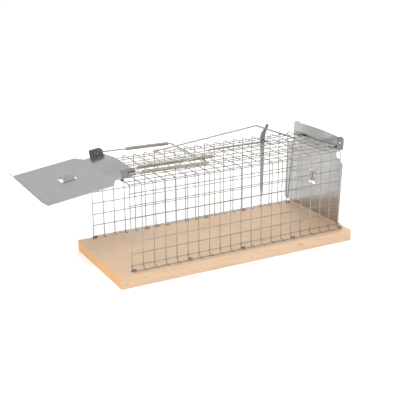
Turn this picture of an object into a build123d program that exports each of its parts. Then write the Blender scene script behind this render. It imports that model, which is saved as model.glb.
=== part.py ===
from build123d import *
from math import cos, radians, sin
import os

# ---------------------------------------------------------------- driving sizes, mm
PITCH = 12.7
BOARD_L = 281.0
BOARD_W = 120.8
BOARD_T = 12.7
HOOPS = 21
WIRE_R = 0.5
WELD = 0.9
CAGE_L = PITCH * (HOOPS - 1)
CAGE_W = 104.6
CAGE_H = 89.55
X_LEFT = -122.2
Y_FRONT = -45.7
TOP_BEND = 2.5
FOOT_BEND = 2.0
FRONT_FOOT = 8.0
REAR_FOOT = 5.0

SHEET = 0.8
DOOR_IN = 4.6
DOOR_HALF = 55.0
DOOR_END = 84.0
DOOR_SHIFT = 3.5
LIP = 6.0
LIP_ANGLE = 45.0
CORNER_U = 16.4
NECK_U = 10.0
NECK_HALF = 42.3
FLANGE_U = -12.5
CAMBER = 4.0
OPEN_TILT = 8.0
CLOSED_LEAN = 2.4
EAR_TOP = 13.4
EAR_ROUND = 5.0
EAR_U = 3.0
PIN_U = -5.5
PIN_N = 8.4
PIN_R = 0.9
HOOK_W = 5.0
BRIDGE_U = 44.5
BRIDGE_L = 16.5
BRIDGE_W = 13.0

LEG_V = 44.8
BAR_X = -30.0
BAR_Z = 110.0
SPRING_R = 2.0
COIL = 1.1

ROD_R = 0.9
LEVER_Y = 28.0
ROD_PIVOT_X = 119.1
APEX = (67.4, 123.2)
CROSSING = (BAR_X, BAR_Z + 3.4)
ROD_TIP_X = -54.8
LEVER_X = 77.2
LEVER_FACE = 1.3
PIVOT_R = 0.8

# ---------------------------------------------------------------- derived places
Y_MID = Y_FRONT + CAGE_W / 2
Y_REAR = Y_FRONT + CAGE_W
X_RIGHT = X_LEFT + CAGE_L
X_MID = X_LEFT + CAGE_L / 2
ROOF_Z = BOARD_T + CAGE_H
FOOT_Z = BOARD_T + WIRE_R
PIVOT_Z = ROOF_Z + WIRE_R + PIVOT_R
HOOP_X = [X_LEFT + PITCH * i for i in range(HOOPS)]
HOOK_Y = [Y_FRONT + PITCH * 1.54, Y_FRONT + PITCH * 6.54]

LEFT = Plane(
    origin=(X_LEFT, Y_MID, ROOF_Z),
    x_dir=(-cos(radians(OPEN_TILT)), 0, -sin(radians(OPEN_TILT))),
    z_dir=(-sin(radians(OPEN_TILT)), 0, cos(radians(OPEN_TILT))),
)
RIGHT = Plane(
    origin=(X_RIGHT, Y_MID + DOOR_SHIFT, ROOF_Z),
    x_dir=(-sin(radians(CLOSED_LEAN)), 0, -cos(radians(CLOSED_LEAN))),
    z_dir=(cos(radians(CLOSED_LEAN)), 0, -sin(radians(CLOSED_LEAN))),
)

os.makedirs("parts", exist_ok=True)


def save(shape, name):
    shape.label = name
    export_step(shape, "parts/" + name + ".step")


def wire(a, b, radius, mode=Mode.ADD):
    """Straight round wire from a to b in the open part."""
    span = Vector(*b) - Vector(*a)
    with Locations(Plane(origin=a, z_dir=span)):
        Cylinder(radius, span.length, align=(Align.CENTER, Align.CENTER, Align.MIN), mode=mode)


def knuckle(point, radius):
    """Round corner between two straight wires."""
    with Locations(point):
        Sphere(radius)


# ---------------------------------------------------------------- base board
FRONT_STAPLES = [0, 5, 10, 15, 20]
REAR_STAPLES = [0, 5, 6, 7, 9, 11, 15, 20]
STAPLE_R = 0.6
STAPLE_HALF = 2.2
STAPLE_DEEP = 6.0
FRONT_STAPLE_Y = Y_FRONT - 4.6
REAR_STAPLE_Y = Y_REAR - 3.4
CROWN_Z = FOOT_Z + WIRE_R + STAPLE_R + 0.02


def staple_legs(hoops, y):
    return [(HOOP_X[i] + side * STAPLE_HALF, y) for i in hoops for side in (-1, 1)]


with BuildPart() as base_board:
    with BuildSketch():
        Rectangle(BOARD_L, BOARD_W)
    extrude(amount=BOARD_T)
    fillet(base_board.edges(), radius=0.8)
    with BuildSketch(Plane.XY.offset(BOARD_T)):
        with Locations(*staple_legs(FRONT_STAPLES, FRONT_STAPLE_Y)):
            Circle(STAPLE_R + 0.05)
        with Locations(*staple_legs(REAR_STAPLES, REAR_STAPLE_Y)):
            Circle(STAPLE_R + 0.05)
    extrude(amount=-STAPLE_DEEP - 0.5, mode=Mode.SUBTRACT)
save(base_board.part, "base_board")


def staples(name, hoops, y):
    with BuildPart() as row:
        with Locations(*[(px, py, BOARD_T - STAPLE_DEEP) for px, py in staple_legs(hoops, y)]):
            Cylinder(
                STAPLE_R,
                CROWN_Z - BOARD_T + STAPLE_DEEP,
                align=(Align.CENTER, Align.CENTER, Align.MIN),
            )
        with Locations(*[(px, py, CROWN_Z) for px, py in staple_legs(hoops, y)]):
            Sphere(STAPLE_R)
        with Locations(*[(HOOP_X[i], y, CROWN_Z) for i in hoops]):
            Cylinder(STAPLE_R, 2 * STAPLE_HALF, rotation=(0, 90, 0))
    save(row.part, name)


staples("front_staples", FRONT_STAPLES, FRONT_STAPLE_Y)
staples("rear_staples", REAR_STAPLES, REAR_STAPLE_Y)


# ---------------------------------------------------------------- welded mesh
WALL_BOTTOM = FOOT_Z + FOOT_BEND
WALL_TOP = ROOF_Z - TOP_BEND
LONG = CAGE_L + 2 * WIRE_R


def wall_mesh(name, y, inward, levels):
    """Upright wires with their top bends, and the long wires welded inside them."""
    turn = 0 if inward > 0 else 180
    with BuildPart() as wall:
        with Locations(*[(x, y, WALL_BOTTOM) for x in HOOP_X]):
            Cylinder(
                WIRE_R,
                WALL_TOP - WALL_BOTTOM,
                align=(Align.CENTER, Align.CENTER, Align.MIN),
            )
        with BuildSketch(Plane(origin=(0, y, WALL_TOP), x_dir=(1, 0, 0), z_dir=(0, 0, 1))):
            with Locations(*[(x, 0) for x in HOOP_X]):
                Circle(WIRE_R)
        bend = Axis((0, y + inward * TOP_BEND, WALL_TOP), (-inward, 0, 0))
        revolve(axis=bend, revolution_arc=90)
        with Locations(*[(X_MID, y + inward * WELD, z) for z in levels]):
            Cylinder(WIRE_R, LONG, rotation=(0, 90, turn))
    save(wall.part, name)


FRONT_LEVELS = [BOARD_T + PITCH * (0.3 + k) for k in range(7)]
REAR_LEVELS = [BOARD_T + PITCH * (0.12 + k) for k in range(1, 8)]
REAR_LEVELS[-1] = WALL_TOP - WIRE_R
wall_mesh("front_wall_mesh", Y_FRONT, 1, FRONT_LEVELS)
wall_mesh("rear_wall_mesh", Y_REAR, -1, REAR_LEVELS)


def foot_mesh(name, y, outward, reach, rail_y, rail_z):
    """Wire ends turned flat on the board, towards the front, tied by one long wire."""
    with BuildPart() as foot:
        with BuildSketch(Plane(origin=(0, y, WALL_BOTTOM), x_dir=(1, 0, 0), z_dir=(0, 0, 1))):
            with Locations(*[(x, 0) for x in HOOP_X]):
                Circle(WIRE_R)
        bend = Axis((0, y + outward * FOOT_BEND, WALL_BOTTOM), (outward, 0, 0))
        revolve(axis=bend, revolution_arc=90)
        stub = reach - FOOT_BEND
        with Locations(*[(x, y + outward * (FOOT_BEND + stub / 2), FOOT_Z) for x in HOOP_X]):
            Cylinder(WIRE_R, stub, rotation=(90, 0, 0))
        with Locations((X_MID, rail_y, rail_z)):
            Cylinder(WIRE_R, LONG, rotation=(0, 90, 0))
    save(foot.part, name)


foot_mesh("front_foot_mesh", Y_FRONT, -1, FRONT_FOOT, Y_FRONT - FRONT_FOOT + 0.6, FOOT_Z + WELD)
foot_mesh("rear_foot_mesh", Y_REAR, -1, REAR_FOOT, Y_REAR + 0.51, FOOT_Z + 0.55)

with BuildPart() as roof_mesh:
    with Locations(*[(x, Y_MID, ROOF_Z) for x in HOOP_X]):
        Cylinder(WIRE_R, CAGE_W - 2 * TOP_BEND, rotation=(90, 0, 0))
    with Locations((X_MID, Y_FRONT + TOP_BEND + WIRE_R, ROOF_Z - WELD)):
        Cylinder(WIRE_R, LONG, rotation=(0, 90, 0))
    with Locations(*[(X_MID, Y_FRONT + PITCH * (k + 0.04), ROOF_Z - WELD) for k in range(1, 8)]):
        Cylinder(WIRE_R, LONG, rotation=(0, 90, 0))
save(roof_mesh.part, "roof_mesh")


# ---------------------------------------------------------------- doors
def door_plate(name, frame):
    """Flat plate with a turned-out lip and a neck that bows outward above the hinge."""
    with BuildPart() as plate:
        with BuildSketch(frame.offset(DOOR_IN)):
            Polygon(
                (DOOR_END, -DOOR_HALF),
                (DOOR_END, DOOR_HALF),
                (CORNER_U, DOOR_HALF),
                (NECK_U, NECK_HALF),
                (NECK_U, -NECK_HALF),
                (CORNER_U, -DOOR_HALF),
                align=None,
            )
        extrude(amount=SHEET)
        lip = Plane(
            origin=frame.from_local_coords((DOOR_END, 0, DOOR_IN)),
            x_dir=frame.x_dir * cos(radians(LIP_ANGLE)) + frame.z_dir * sin(radians(LIP_ANGLE)),
            z_dir=frame.z_dir * cos(radians(LIP_ANGLE)) - frame.x_dir * sin(radians(LIP_ANGLE)),
        )
        with Locations(lip):
            Box(LIP, 2 * DOOR_HALF, SHEET, align=(Align.MIN, Align.CENTER, Align.MIN))
        for u, rise in ((NECK_U, 0.02), (FLANGE_U, CAMBER)):
            across = Plane(
                origin=frame.from_local_coords((u, 0, DOOR_IN)),
                x_dir=frame.y_dir,
                z_dir=frame.x_dir,
            )
            with BuildSketch(across):
                with BuildLine():
                    ThreePointArc((-NECK_HALF, 0), (0, rise), (NECK_HALF, 0))
                    Line((NECK_HALF, 0), (NECK_HALF, SHEET))
                    ThreePointArc((NECK_HALF, SHEET), (0, rise + SHEET), (-NECK_HALF, SHEET))
                    Line((-NECK_HALF, SHEET), (-NECK_HALF, 0))
                make_face()
        loft(ruled=True)
        with Locations(frame.offset(DOOR_IN) * Location((BRIDGE_U, 0, 0))):
            Box(BRIDGE_L, BRIDGE_W, 4, mode=Mode.SUBTRACT)
    save(plate.part, name)


def bait_bridge(name, frame):
    """Raised strip left standing over the window in the plate."""
    half = BRIDGE_W / 2
    across = Plane(
        origin=frame.from_local_coords((BRIDGE_U, 0, DOOR_IN)),
        x_dir=frame.y_dir,
        z_dir=frame.x_dir,
    )
    with BuildPart() as bridge:
        with BuildSketch(across):
            with BuildLine():
                ThreePointArc((-half, 0), (0, 3.6), (half, 0))
                Line((half, 0), (half, SHEET))
                ThreePointArc((half, SHEET), (0, 3.6 + SHEET), (-half, SHEET))
                Line((-half, SHEET), (-half, 0))
            make_face()
        extrude(amount=BRIDGE_L / 2 - 2, both=True)
        with Locations(frame.offset(DOOR_IN + 3.6) * Location((BRIDGE_U, 0, 0))):
            Cylinder(1.2, 6, mode=Mode.SUBTRACT)
    save(bridge.part, name)


def door_ears(name, frame):
    """Lugs standing on both sides of the neck, with the holes for the bail pins."""
    with BuildPart() as ears:
        for side in (-1, 1):
            face = Plane(
                origin=frame.from_local_coords((0, side * NECK_HALF, 0)),
                x_dir=frame.x_dir,
                z_dir=frame.y_dir * side,
            )
            top = -side * EAR_TOP
            base = -side * DOOR_IN
            shoulder = -side * (EAR_TOP - EAR_ROUND)
            middle = -side * (EAR_TOP - 0.293 * EAR_ROUND)
            with BuildSketch(face):
                with BuildLine():
                    Polyline(
                        (FLANGE_U + EAR_ROUND, top),
                        (EAR_U, top),
                        (EAR_U, base),
                        (FLANGE_U, base),
                        (FLANGE_U, shoulder),
                    )
                    ThreePointArc(
                        (FLANGE_U, shoulder),
                        (FLANGE_U + 0.293 * EAR_ROUND, middle),
                        (FLANGE_U + EAR_ROUND, top),
                    )
                make_face()
                with Locations((PIN_U, -side * PIN_N)):
                    Circle(PIN_R + 0.08, mode=Mode.SUBTRACT)
            extrude(amount=SHEET)
    save(ears.part, name)


def hinge_hooks(name, frame):
    """Two sheet hooks curled round the end wire of the roof."""
    with BuildPart() as hooks:
        for y in HOOK_Y:
            eye = Plane(
                origin=(frame.origin.X, y, frame.origin.Z),
                x_dir=frame.x_dir,
                z_dir=frame.y_dir,
            )
            with BuildSketch(eye):
                Circle(1.4)
                with Locations((0.9, -DOOR_IN / 2)):
                    Rectangle(1.0, DOOR_IN)
                Circle(WIRE_R + 0.08, mode=Mode.SUBTRACT)
            extrude(amount=HOOK_W / 2, both=True)
    save(hooks.part, name)


for label, frame in (("left", LEFT), ("right", RIGHT)):
    door_plate(label + "_door_plate", frame)
    bait_bridge(label + "_bait_bridge", frame)
    door_ears(label + "_door_ears", frame)
    hinge_hooks(label + "_hinge_hooks", frame)


# ---------------------------------------------------------------- bail and its springs
PIN = LEFT.from_local_coords((PIN_U, 0, PIN_N))


def bail_leg(name, side):
    """One side of the U-shaped bail, with its pin turned in through the door lug."""
    y = Y_MID + LEG_V
    with BuildPart() as leg:
        wire((PIN.X, y - 4.5, PIN.Z), (PIN.X, y, PIN.Z), PIN_R)
        knuckle((PIN.X, y, PIN.Z), PIN_R)
        wire((PIN.X, y, PIN.Z), (BAR_X, y, BAR_Z), PIN_R)
        knuckle((BAR_X, y, BAR_Z), PIN_R)
        if side < 0:
            mirror(about=Plane.XZ.offset(-Y_MID), mode=Mode.REPLACE)
    save(leg.part, name)


bail_leg("bail_front_leg", -1)
bail_leg("bail_rear_leg", 1)

with BuildPart() as bail_cross_bar:
    reach = LEG_V - PIN_R
    wire((BAR_X, Y_MID - reach, BAR_Z), (BAR_X, Y_MID + reach, BAR_Z), PIN_R)
save(bail_cross_bar.part, "bail_cross_bar")


def spring(name, start, end, bore):
    """Close-wound coil drawn as a ribbed tube."""
    span = Vector(*end) - Vector(*start)
    turns = int(span.length / COIL)
    step = span.length / turns
    root = SPRING_R - COIL / 2
    side = Plane(origin=start, x_dir=(0, 1, 0), z_dir=Vector(0, 1, 0).cross(span))
    with BuildPart() as coil:
        with BuildSketch(side):
            with BuildLine():
                for i in range(turns):
                    ThreePointArc(
                        (root, step * i),
                        (SPRING_R, step * (i + 0.5)),
                        (root, step * (i + 1)),
                    )
                Line((root, span.length), (bore, span.length))
                Line((bore, span.length), (bore, 0))
                Line((bore, 0), (root, 0))
            make_face()
        revolve(axis=Axis(start, (span.X, span.Y, span.Z)))
    save(coil.part, name)


def on_leg(x, side):
    """Point on the centre line of one bail leg."""
    part = (x - PIN.X) / (BAR_X - PIN.X)
    return (x, Y_MID + side * LEG_V, PIN.Z + part * (BAR_Z - PIN.Z))


ASSIST_Y = Y_FRONT + 1.43 * PITCH
ASSIST_Z = BAR_Z + PIN_R + SPRING_R + 0.02
ASSIST_START = (X_LEFT + 1.315 * PITCH, ASSIST_Y, ASSIST_Z)
ASSIST_END = (X_LEFT + 8.14 * PITCH, ASSIST_Y, ASSIST_Z)
spring("front_leg_spring", on_leg(X_LEFT + 1.3 * PITCH, -1), on_leg(BAR_X - 2, -1), PIN_R + 0.02)
spring("rear_leg_spring", on_leg(X_LEFT + 3.0 * PITCH, 1), on_leg(BAR_X - 2, 1), PIN_R + 0.02)
spring("assist_spring", ASSIST_START, ASSIST_END, 0.7)

LINK_R = 0.6
with BuildPart() as spring_link:
    near = on_leg(X_LEFT + 1.1 * PITCH, -1)
    wire(ASSIST_START, (ASSIST_START[0] - 2, ASSIST_Y, ASSIST_Z), LINK_R)
    knuckle((ASSIST_START[0] - 2, ASSIST_Y, ASSIST_Z), LINK_R)
    wire(
        (ASSIST_START[0] - 2, ASSIST_Y, ASSIST_Z),
        (near[0], near[1], near[2] + PIN_R + LINK_R + 0.02),
        LINK_R,
    )
save(spring_link.part, "spring_link")

with BuildPart() as spring_stay:
    far = on_leg(X_LEFT + 4.3 * PITCH, -1)
    wire(
        (X_LEFT + 7.4 * PITCH, ASSIST_Y, ASSIST_Z + SPRING_R + 0.45),
        (far[0], far[1], far[2] + SPRING_R + 0.5),
        0.4,
    )
save(spring_stay.part, "spring_stay")


# ---------------------------------------------------------------- setting rod
SLOPE = (APEX[1] - CROSSING[1]) / (APEX[0] - CROSSING[0])
TIP_Z = CROSSING[1] - SLOPE * (CROSSING[0] - ROD_TIP_X)

with BuildPart() as rod_arm:
    wire((ROD_TIP_X, LEVER_Y, TIP_Z), (APEX[0], LEVER_Y, APEX[1]), ROD_R)
save(rod_arm.part, "rod_arm")

with BuildPart() as rod_heel:
    knuckle((APEX[0], LEVER_Y, APEX[1]), ROD_R)
    wire((APEX[0], LEVER_Y, APEX[1]), (ROD_PIVOT_X, LEVER_Y, ROOF_Z), ROD_R)
    with Locations((ROD_PIVOT_X, LEVER_Y, ROOF_Z)):
        Cylinder(1.7, 2.4, rotation=(90, 0, 0))
        Cylinder(WIRE_R + 0.08, 3, rotation=(90, 0, 0), mode=Mode.SUBTRACT)
    wire((ROD_TIP_X, LEVER_Y, TIP_Z), (APEX[0], LEVER_Y, APEX[1]), ROD_R + 0.001, Mode.SUBTRACT)
save(rod_heel.part, "rod_heel")

with BuildPart() as rod_tip:
    with BuildSketch(Plane(origin=(ROD_TIP_X, LEVER_Y, TIP_Z), x_dir=(1, 0, SLOPE), z_dir=(0, 1, 0))):
        with Locations((-3.5, 0)):
            SlotOverall(7.0, 2.8)
    extrude(amount=0.6, both=True)
save(rod_tip.part, "rod_tip")


# ---------------------------------------------------------------- trigger
with BuildPart() as pivot_wire:
    wire((5.8, LEVER_Y, PIVOT_Z), (84.5, LEVER_Y, PIVOT_Z), PIVOT_R)
save(pivot_wire.part, "pivot_wire")

with BuildPart() as trigger_blade:
    with BuildSketch(
        Plane(origin=(LEVER_X, LEVER_Y + LEVER_FACE, PIVOT_Z), x_dir=(1, 0, 0), z_dir=(0, -1, 0))
    ):
        Polygon(
            (4.6, 18.2),
            (5.6, 19.6),
            (7.2, 19.4),
            (8.0, 17.6),
            (6.6, 13.8),
            (4.6, 9.5),
            (3.2, 5.0),
            (2.9, 0.0),
            (1.6, -60.0),
            (0.3, -72.0),
            (-0.8, -60.0),
            (-2.9, 0.0),
            (-2.7, 6.0),
            (-1.2, 10.3),
            (1.8, 13.4),
            (3.6, 16.0),
            align=None,
        )
    extrude(amount=-SHEET)
save(trigger_blade.part, "trigger_blade")

with BuildPart() as trigger_catch:
    with Locations((LEVER_X + 5.3, LEVER_Y + LEVER_FACE, 119.5)):
        Box(3.0, 1.2, 1.0, align=(Align.CENTER, Align.MAX, Align.MIN))
save(trigger_catch.part, "trigger_catch")

with BuildPart() as trigger_eyelets:
    with BuildSketch(Plane(origin=(LEVER_X, LEVER_Y, PIVOT_Z), x_dir=(0, 1, 0), z_dir=(1, 0, 0))):
        Circle(1.6)
        with Locations((0.65, 1.1)):
            Rectangle(1.3, 1.0)
        with Locations((LEVER_FACE + 1, 0)):
            Rectangle(2.0, 8.0, mode=Mode.SUBTRACT)
        Circle(PIVOT_R + 0.08, mode=Mode.SUBTRACT)
    extrude(amount=2.9, both=True)
    with Locations((LEVER_X, LEVER_Y, PIVOT_Z)):
        Box(3.0, 6.0, 6.0, mode=Mode.SUBTRACT)
save(trigger_eyelets.part, "trigger_eyelets")
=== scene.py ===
import math

import bpy
import numpy as np
from mathutils import Matrix, Vector


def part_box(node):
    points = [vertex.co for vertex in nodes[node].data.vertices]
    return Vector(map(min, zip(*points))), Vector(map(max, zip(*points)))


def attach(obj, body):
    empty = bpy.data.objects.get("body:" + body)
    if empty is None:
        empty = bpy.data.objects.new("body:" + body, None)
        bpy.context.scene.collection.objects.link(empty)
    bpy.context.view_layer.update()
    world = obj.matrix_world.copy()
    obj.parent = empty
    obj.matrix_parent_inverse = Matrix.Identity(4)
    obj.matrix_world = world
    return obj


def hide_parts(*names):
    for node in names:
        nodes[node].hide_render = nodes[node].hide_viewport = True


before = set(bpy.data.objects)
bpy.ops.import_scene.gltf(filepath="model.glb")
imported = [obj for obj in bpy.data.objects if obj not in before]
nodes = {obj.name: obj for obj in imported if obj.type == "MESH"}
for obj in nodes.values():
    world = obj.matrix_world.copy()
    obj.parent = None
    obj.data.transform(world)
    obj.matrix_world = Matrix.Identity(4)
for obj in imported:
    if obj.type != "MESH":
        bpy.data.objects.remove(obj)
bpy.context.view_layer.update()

MM = 0.001


def corners(node):
    """Lowest and highest corner of a CAD node, in mm."""
    low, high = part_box(node)
    return np.array(low) / MM, np.array(high) / MM


# ---------------------------------------------------------------- camera and studio
# lens in mm, angles in radians, eye in mm from the centre of the board's underside
SENSOR = 36.0
LENS = 78.41
YAW = 0.48741
PITCH_DOWN = 0.32386
ROLL = -0.00803
EYE = (-440.6, -793.3, 358.1)

# place and target in metres, diameter in metres, power in watts
LIGHT_TARGET = (0.0, 0.0, 0.05)
LIGHTS = {
    "key": ((-0.9, -1.1, 1.5), 0.9, 16.0),
    "back": ((0.7, 1.2, 1.3), 0.8, 9.0),
}
SKY_STRENGTH = 0.8
FLOOR_HALF = 4000
FLOOR_GLOW = 0.35


def make_camera():
    """Camera from its eye point, yaw, downward pitch and roll."""
    forward = Vector((
        math.sin(YAW) * math.cos(PITCH_DOWN),
        math.cos(YAW) * math.cos(PITCH_DOWN),
        -math.sin(PITCH_DOWN),
    ))
    level = Vector((math.cos(YAW), -math.sin(YAW), 0.0))
    upright = level.cross(forward)
    right = level * math.cos(ROLL) + upright * math.sin(ROLL)
    up = upright * math.cos(ROLL) - level * math.sin(ROLL)
    data = bpy.data.cameras.new("camera")
    data.sensor_width = SENSOR
    data.lens = LENS
    camera = bpy.data.objects.new("camera", data)
    turn = Matrix((right, up, -forward)).transposed().to_4x4()
    camera.matrix_world = Matrix.Translation(Vector(EYE) * MM) @ turn
    bpy.context.scene.collection.objects.link(camera)
    bpy.context.scene.camera = camera


def area_light(name, place, size, power):
    """Round soft light aimed at the trap."""
    data = bpy.data.lights.new(name, "AREA")
    data.shape = "DISK"
    data.size = size
    data.energy = power
    light = bpy.data.objects.new(name, data)
    light.location = place
    aim = Vector(LIGHT_TARGET) - Vector(place)
    light.rotation_euler = aim.to_track_quat("-Z", "Y").to_euler()
    bpy.context.scene.collection.objects.link(light)


# ---------------------------------------------------------------- materials
class Graph:
    """Short way to wire up one material."""

    def __init__(self, name, metallic, roughness, specular=0.5):
        self.material = bpy.data.materials.new(name)
        self.material.use_nodes = True
        self.tree = self.material.node_tree
        self.shader = self.tree.nodes["Principled BSDF"]
        self.shader.inputs["Metallic"].default_value = metallic
        self.shader.inputs["Roughness"].default_value = roughness
        self.shader.inputs["Specular IOR Level"].default_value = specular
        self.place = self.add("ShaderNodeTexCoord").outputs["Object"]

    def add(self, kind, **settings):
        node = self.tree.nodes.new(kind)
        for key, value in settings.items():
            setattr(node, key, value)
        return node

    def feed(self, socket, value):
        if isinstance(value, bpy.types.NodeSocket):
            self.tree.links.new(value, socket)
        else:
            socket.default_value = value

    def math(self, operation, a, b=0.0):
        node = self.add("ShaderNodeMath", operation=operation)
        self.feed(node.inputs[0], a)
        self.feed(node.inputs[1], b)
        return node.outputs[0]

    def stretch(self, vector, scale, shift=(0, 0, 0)):
        node = self.add("ShaderNodeMapping")
        self.feed(node.inputs["Vector"], vector)
        node.inputs["Scale"].default_value = scale
        node.inputs["Location"].default_value = shift
        return node.outputs[0]

    def noise(self, vector, scale, detail=3.0, rough=0.5, distortion=0.0):
        node = self.add("ShaderNodeTexNoise")
        self.feed(node.inputs["Vector"], vector)
        node.inputs["Scale"].default_value = scale
        node.inputs["Detail"].default_value = detail
        node.inputs["Roughness"].default_value = rough
        node.inputs["Distortion"].default_value = distortion
        return node.outputs["Fac"]

    def cells(self, vector, scale):
        node = self.add("ShaderNodeTexVoronoi")
        self.feed(node.inputs["Vector"], vector)
        node.inputs["Scale"].default_value = scale
        return node.outputs["Color"]

    def ramp(self, fac, stops):
        node = self.add("ShaderNodeValToRGB")
        self.feed(node.inputs["Fac"], fac)
        band = node.color_ramp
        while len(band.elements) < len(stops):
            band.elements.new(0.5)
        for element, (where, colour) in zip(band.elements, stops):
            element.position = where
            element.color = (*colour, 1.0) if len(colour) == 3 else colour
        return node.outputs["Color"]

    def span(self, value, low, high, to_low, to_high):
        node = self.add("ShaderNodeMapRange")
        self.feed(node.inputs["Value"], value)
        node.inputs["From Min"].default_value = low
        node.inputs["From Max"].default_value = high
        node.inputs["To Min"].default_value = to_low
        node.inputs["To Max"].default_value = to_high
        return node.outputs["Result"]

    def mix(self, fac, a, b, blend="MIX"):
        node = self.add("ShaderNodeMix", data_type="RGBA", blend_type=blend)
        self.feed(node.inputs[0], fac)
        self.feed(node.inputs[6], a if not isinstance(a, tuple) else (*a, 1.0))
        self.feed(node.inputs[7], b if not isinstance(b, tuple) else (*b, 1.0))
        return node.outputs[2]

    def split(self, vector):
        node = self.add("ShaderNodeSeparateXYZ")
        self.feed(node.inputs[0], vector)
        return node.outputs

    def join(self, x, y, z):
        node = self.add("ShaderNodeCombineXYZ")
        self.feed(node.inputs[0], x)
        self.feed(node.inputs[1], y)
        self.feed(node.inputs[2], z)
        return node.outputs[0]

    def paint(self, colour, roughness=None, height=None, strength=0.3, distance=0.0002):
        self.feed(self.shader.inputs["Base Color"], colour)
        if roughness is not None:
            self.feed(self.shader.inputs["Roughness"], roughness)
        if height is not None:
            bump = self.add("ShaderNodeBump")
            bump.inputs["Strength"].default_value = strength
            bump.inputs["Distance"].default_value = distance
            self.feed(bump.inputs["Height"], height)
            self.tree.links.new(bump.outputs["Normal"], self.shader.inputs["Normal"])
        return self.material


# wood tones, and knots as x, y, z and radius in metres
PALE_PINE = (0.735, 0.535, 0.375)
RING_PINE = (0.58, 0.36, 0.21)
STREAK_PINE = (0.60, 0.405, 0.245)
BLOTCH_PINE = (0.66, 0.44, 0.26)
FIBRE_PINE = (0.46, 0.29, 0.16)
FLECK_PINE = (0.36, 0.21, 0.11)
END_PALE = (0.80, 0.475, 0.22)
END_RING = (0.66, 0.34, 0.125)
END_PORE = (0.45, 0.24, 0.10)
KNOT_PINE = (0.30, 0.17, 0.09)
RINGS_PER_METRE = 310.0
PITH_Y = 0.022
PITH_DEPTH = 0.034
GRAIN_SLOPE = 0.11
KNOTS = [
    (0.072, -0.060, 0.0085, 0.0012),
    (0.010, -0.060, 0.0050, 0.0009),
    (-0.075, -0.056, 0.0125, 0.0011),
    (-0.117, 0.020, 0.0125, 0.0010),
    (0.118, 0.052, 0.0125, 0.0014),
]


def growth_rings(g, x, y, z, drift):
    """Bands around a wandering pith that lies below the board."""
    slope = g.math("MULTIPLY", x, GRAIN_SLOPE)
    side = g.math("ADD", g.math("SUBTRACT", y, PITH_Y), g.math("MULTIPLY", drift, 0.03))
    down = g.math("ADD", g.math("ADD", z, PITH_DEPTH), slope)
    squares = g.math("ADD", g.math("MULTIPLY", side, side), g.math("MULTIPLY", down, down))
    ring = g.math("FRACT", g.math("MULTIPLY", g.math("SQRT", squares), RINGS_PER_METRE))
    return g.ramp(ring, [
        (0.0, (0, 0, 0)), (0.55, (0.25, 0.25, 0.25)), (0.86, (1, 1, 1)), (1.0, (0, 0, 0)),
    ])


def wood():
    """Pale planed pine: growth rings, streaks, fibres, flecks, small knots, warmer end grain."""
    g = Graph("pale_pine", 0.0, 0.55, 0.35)
    x, y, z = g.split(g.place)[:3]
    drift = g.noise(g.stretch(g.place, (5.0, 26.0, 26.0)), 1.0, 3.0, 0.5)
    rings = growth_rings(g, x, y, z, drift)
    fibres = g.noise(g.stretch(g.place, (22.0, 900.0, 900.0)), 1.0, 4.0, 0.6)
    streaks = g.noise(g.stretch(g.place, (6.0, 120.0, 120.0)), 1.0, 3.0, 0.55)
    blotch = g.noise(g.stretch(g.place, (9.0, 22.0, 22.0), (3, 1, 2)), 1.0, 2.0, 0.5)
    flecks = g.noise(g.stretch(g.place, (150.0, 1500.0, 1500.0)), 1.0, 1.0, 0.4)
    colour = g.mix(g.math("MULTIPLY", rings, 0.36), PALE_PINE, RING_PINE)
    for pattern, low, high, amount, tone in (
        (streaks, 0.35, 0.75, 0.35, STREAK_PINE),
        (blotch, 0.45, 0.75, 0.30, BLOTCH_PINE),
        (fibres, 0.42, 0.72, 0.22, FIBRE_PINE),
        (flecks, 0.68, 0.78, 0.45, FLECK_PINE),
    ):
        colour = g.mix(g.span(pattern, low, high, 0.0, amount), colour, tone)

    normal = g.add("ShaderNodeTexCoord").outputs["Normal"]
    facing = g.math("ABSOLUTE", g.split(normal)[0])
    ends = g.span(facing, 0.35, 0.8, 0.0, 1.0)
    pores = g.noise(g.stretch(g.place, (700.0, 700.0, 700.0)), 1.0, 2.0, 0.5)
    end_tone = g.mix(g.math("MULTIPLY", rings, 0.55), END_PALE, END_RING)
    end_tone = g.mix(g.span(pores, 0.5, 0.7, 0.0, 0.3), end_tone, END_PORE)
    colour = g.mix(ends, colour, end_tone)

    for knot_x, knot_y, knot_z, size in KNOTS:
        away = g.join(
            g.math("MULTIPLY", g.math("SUBTRACT", x, knot_x), 0.5),
            g.math("SUBTRACT", y, knot_y),
            g.math("SUBTRACT", z, knot_z),
        )
        length = g.add("ShaderNodeVectorMath", operation="LENGTH")
        g.feed(length.inputs[0], away)
        near = g.math("ADD", length.outputs["Value"], g.math("MULTIPLY", drift, size * 0.8))
        knot = g.ramp(g.math("DIVIDE", near, size * 2.2), [
            (0.0, (1, 1, 1)),
            (0.42, (0.75, 0.75, 0.75)),
            (0.55, (0.2, 0.2, 0.2)),
            (1.0, (0, 0, 0)),
        ])
        colour = g.mix(g.math("MULTIPLY", knot, 0.7), colour, KNOT_PINE)
    rough = g.span(fibres, 0.3, 0.7, 0.48, 0.66)
    height = g.math("ADD", g.math("MULTIPLY", fibres, 0.7), g.math("MULTIPLY", rings, 0.4))
    return g.paint(colour, rough, height, 0.35, 0.00025)


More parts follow.
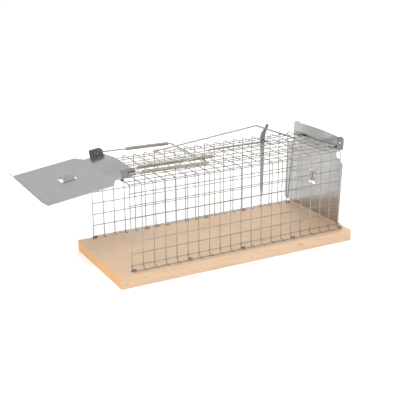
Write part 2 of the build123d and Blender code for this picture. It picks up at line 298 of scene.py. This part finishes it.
def zinc(name, tone, rough, warm=0.0, dirt=0.25):
    """Galvanised sheet: faint spangle, fine brushed streaks, cloudy bloom and a few stains."""
    g = Graph(name, 1.0, rough)
    base = (tone * (1 + warm), tone, tone * (1 - warm))
    dark = tuple(c * 0.84 for c in base)
    pale = tuple(min(1.0, c * 1.10) for c in base)
    crystal = g.split(g.cells(g.place, 150.0))[0]
    lines = g.noise(g.stretch(g.place, (500.0, 14.0, 500.0)), 1.0, 4.0, 0.6)
    cloud = g.noise(g.place, 16.0, 3.0, 0.5, 0.6)
    stain = g.noise(g.place, 55.0, 4.0, 0.65)
    colour = g.mix(g.math("MULTIPLY", crystal, 0.10), base, pale)
    colour = g.mix(g.span(lines, 0.40, 0.75, 0.0, 0.40), colour, dark)
    colour = g.mix(g.span(cloud, 0.42, 0.70, 0.0, 0.45), colour, dark)
    grime = (tone * 0.62, tone * 0.54, tone * 0.44)
    colour = g.mix(g.span(stain, 0.58, 0.78, 0.0, dirt), colour, grime)
    fine = g.noise(g.place, 1400.0, 2.0, 0.5)
    dull = g.span(cloud, 0.3, 0.7, rough - 0.03, rough + 0.05)
    shine = g.math("ADD", dull, g.span(lines, 0.3, 0.7, -0.02, 0.03))
    height = g.math("ADD", g.math("MULTIPLY", lines, 0.5), g.math("MULTIPLY", fine, 0.3))
    return g.paint(colour, shine, height, 0.10, 0.0001)


def bright_wire(name, tone, rough, warm=0.02, grime=0.5):
    """Drawn wire: tiny bright zinc lumps and darker grime in patches."""
    g = Graph(name, 1.0, rough)
    base = (tone * (1 + warm), tone, tone * (1 - 2 * warm))
    grain = g.noise(g.place, 700.0, 3.0, 0.6)
    patch = g.noise(g.place, 60.0, 3.0, 0.6)
    grey = (tone * 0.52, tone * 0.46, tone * 0.38)
    glint = (tone * 1.25, tone * 1.25, tone * 1.22)
    colour = g.mix(g.span(patch, 0.4, 0.7, 0.0, grime), base, grey)
    colour = g.mix(g.span(grain, 0.5, 0.75, 0.0, 0.4), colour, glint)
    shine = g.span(grain, 0.3, 0.7, rough - 0.08, rough + 0.12)
    return g.paint(colour, shine, grain, 0.25, 0.00015)


def floor_paper():
    """White studio paper with a little glow, so that it stays pale."""
    g = Graph("studio_paper", 0.0, 0.9, 0.0)
    mottle = g.noise(g.place, 3.0, 2.0, 0.5)
    tone = g.mix(mottle, (0.80, 0.80, 0.80), (0.83, 0.83, 0.83))
    g.shader.inputs["Emission Color"].default_value = (1, 1, 1, 1)
    g.shader.inputs["Emission Strength"].default_value = FLOOR_GLOW
    return g.paint(tone)


# ---------------------------------------------------------------- mesh helpers
def new_object(name, verts, faces, material, body=None):
    """Mesh piece from points in mm."""
    mesh = bpy.data.meshes.new(name)
    mesh.from_pydata([tuple(v * MM for v in p) for p in verts], [], faces)
    mesh.polygons.foreach_set("use_smooth", [True] * len(mesh.polygons))
    mesh.materials.append(material)
    mesh.update()
    piece = bpy.data.objects.new(name, mesh)
    bpy.context.scene.collection.objects.link(piece)
    if body:
        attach(piece, body)
    return piece


def sweep(path, radius, sides=8):
    """Points and faces of one round wire along a path, with closed ends."""
    path = np.asarray(path, float)
    count = len(path)
    radii = np.broadcast_to(np.asarray(radius, float), (count,))
    tangent = np.gradient(path, axis=0)
    tangent /= np.linalg.norm(tangent, axis=1)[:, None]
    seed = np.eye(3)[np.argmin(np.abs(tangent[0]))]
    normal = np.cross(tangent[0], seed)
    normal /= np.linalg.norm(normal)
    angles = np.arange(sides) * 2 * math.pi / sides
    verts = []
    for i in range(count):
        normal = normal - tangent[i] * normal.dot(tangent[i])
        normal /= np.linalg.norm(normal)
        other = np.cross(tangent[i], normal)
        ring = np.outer(np.cos(angles), normal) + np.outer(np.sin(angles), other)
        verts.append(path[i] + ring * radii[i])
    verts = np.vstack(verts)
    faces = []
    for i in range(count - 1):
        for j in range(sides):
            k = (j + 1) % sides
            faces.append((i * sides + j, i * sides + k, (i + 1) * sides + k, (i + 1) * sides + j))
    faces.append(tuple(range(sides - 1, -1, -1)))
    faces.append(tuple(range((count - 1) * sides, count * sides)))
    return verts, faces


def helix(start, end, radius, pitch, per_turn=14):
    """Centre line of a coil from start to end."""
    start, end = np.asarray(start, float), np.asarray(end, float)
    axis = end - start
    length = np.linalg.norm(axis)
    axis /= length
    a = np.cross(axis, (0, 0, 1.0))
    a /= np.linalg.norm(a)
    b = np.cross(axis, a)
    turns = length / pitch
    t = np.linspace(0, 1, int(turns * per_turn))
    angle = t * turns * 2 * math.pi
    return start + np.outer(t * length, axis) + radius * (
        np.outer(np.cos(angle), a) + np.outer(np.sin(angle), b)
    )


# ---------------------------------------------------------------- scene
make_camera()
for light_name, (place, size, power) in LIGHTS.items():
    area_light(light_name, place, size, power)
world = bpy.data.worlds.new("studio")
world.use_nodes = True
sky = world.node_tree.nodes["Background"]
sky.inputs["Color"].default_value = (1.0, 1.0, 1.0, 1.0)
sky.inputs["Strength"].default_value = SKY_STRENGTH
bpy.context.scene.world = world
bpy.context.scene.view_settings.view_transform = "Standard"

floor = new_object(
    "floor",
    [
        (-FLOOR_HALF, -FLOOR_HALF, 0),
        (FLOOR_HALF, -FLOOR_HALF, 0),
        (FLOOR_HALF, FLOOR_HALF, 0),
        (-FLOOR_HALF, FLOOR_HALF, 0),
    ],
    [(0, 1, 2, 3)],
    floor_paper(),
)

finishes = {
    "board": wood(),
    "sheet": zinc("galvanised_sheet", 0.47, 0.19, warm=0.012, dirt=0.3),
    # ears and hooks: a darker copy of the sheet zinc, where the lower tone is painted shade on
    # the curled lugs and the heavier stains are wear
    "lug": zinc("sheet_lugs_wear_and_painted_shade", 0.24, 0.32, dirt=0.6),
    "mesh": bright_wire("mesh_wire", 0.42, 0.38, 0.03, 0.6),
    "wire": bright_wire("drawn_wire", 0.50, 0.30, 0.015, 0.35),
    "spring": bright_wire("spring_wire", 0.50, 0.36, 0.07, 0.45),
    "blade": zinc("trigger_strip", 0.30, 0.33, dirt=0.5),
    "staple": bright_wire("staple_wire", 0.18, 0.42, 0.06, 0.6),
}

# first matching word in a node's name decides its finish
slot_of = {}
for part in nodes:
    for key, words in (
        ("board", ("board",)),
        ("staple", ("staples",)),
        ("mesh", ("mesh",)),
        ("sheet", ("plate", "bridge")),
        ("lug", ("ears", "hooks")),
        ("spring", ("_spring",)),
        ("blade", ("trigger",)),
    ):
        if part not in slot_of and any(w in part for w in words):
            slot_of[part] = key
    slot_of.setdefault(part, "wire")

for part, piece in nodes.items():
    for i in range(len(piece.material_slots)):
        piece.material_slots[i].material = finishes[slot_of[part]]

# ---------------------------------------------------------------- springs
# true coils in place of the ribbed tubes, in mm
LEG_R = 0.9
SPRING_R = 2.0
COIL_WIRE = 0.42
COIL_PITCH = 0.95
COIL_SIDES = 6
LEG_END_GAP = 0.6
ASSIST_END_GAP = 0.5


def coil_spring(node, start, end):
    """Close-wound coil that takes the place of one CAD spring."""
    path = helix(start, end, SPRING_R - COIL_WIRE, COIL_PITCH)
    verts, faces = sweep(path, COIL_WIRE, COIL_SIDES)
    coil = new_object(node + "_coil", verts, faces, finishes["spring"], "bail")
    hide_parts(node)


leg_low, leg_high = corners("bail_front_leg")
PIN_X, PIN_Z = leg_low[0] + LEG_R, leg_high[2] - LEG_R
BAR_X, BAR_Z = leg_high[0] - LEG_R, leg_low[2] + LEG_R
for node in ("front_leg_spring", "rear_leg_spring"):
    low, high = corners(node)
    y = (low[1] + high[1]) / 2
    ends = []
    for x in (low[0] + LEG_END_GAP, high[0] - LEG_END_GAP):
        t = (x - PIN_X) / (BAR_X - PIN_X)
        ends.append((x, y, PIN_Z + t * (BAR_Z - PIN_Z)))
    coil_spring(node, *ends)

low, high = corners("assist_spring")
y, z = (low[1] + high[1]) / 2, (low[2] + high[2]) / 2
coil_spring("assist_spring", (low[0] + ASSIST_END_GAP, y, z), (high[0] - ASSIST_END_GAP, y, z))
